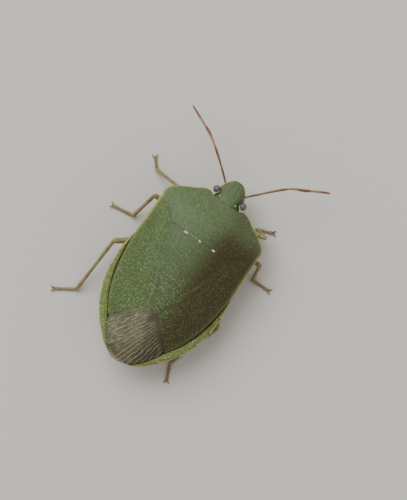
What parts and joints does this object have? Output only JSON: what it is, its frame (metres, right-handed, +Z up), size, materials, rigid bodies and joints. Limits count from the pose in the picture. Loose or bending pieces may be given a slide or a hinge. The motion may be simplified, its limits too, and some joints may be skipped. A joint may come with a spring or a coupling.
{
  "type": "green shield bug model",
  "caption": "Life-size still model of a green shield bug standing on six legs with folded wings and spread antennae.",
  "frame": {"origin": "on the floor, under the middle of the animal's box", "axes": "+Z up, the head points to -Y, the animal's left side is +X"},
  "size_m": [0.0122, 0.0168, 0.0049],
  "materials": {
    "green_cuticle": "punctured, satin green cuticle",
    "green_wing": "leathery green wing, finely punctured, satin",
    "wing_membrane": "greyish brown wrinkled wing membrane, glossy",
    "pale_belly": "pale yellow-green cuticle, satin",
    "bright_rim": "bright yellow-green cuticle with a pale edge, punctured",
    "compound_eye": "dark purplish, finely faceted, glossy",
    "banded_antenna": "olive with red-brown bands, satin",
    "leg_cuticle": "olive green cuticle with fine hairs, satin"
  },
  "bodies": {
    "root": {"pronotum": "green_cuticle", "scutellum": "green_cuticle", "head": "green_cuticle", "corium_left": "green_wing", "corium_right": "green_wing", "membrane_left": "wing_membrane", "membrane_right": "wing_membrane", "thorax": "pale_belly", "abdomen": "bright_rim", "eye_left": "compound_eye", "eye_right": "compound_eye", "antenna_left": "banded_antenna", "antenna_right": "banded_antenna", "rostrum": "leg_cuticle", "leg_fore_left": "leg_cuticle", "leg_fore_right": "leg_cuticle", "leg_mid_left": "leg_cuticle", "leg_mid_right": "leg_cuticle", "leg_hind_left": "leg_cuticle", "leg_hind_right": "leg_cuticle"}
  },
  "joints": []
}
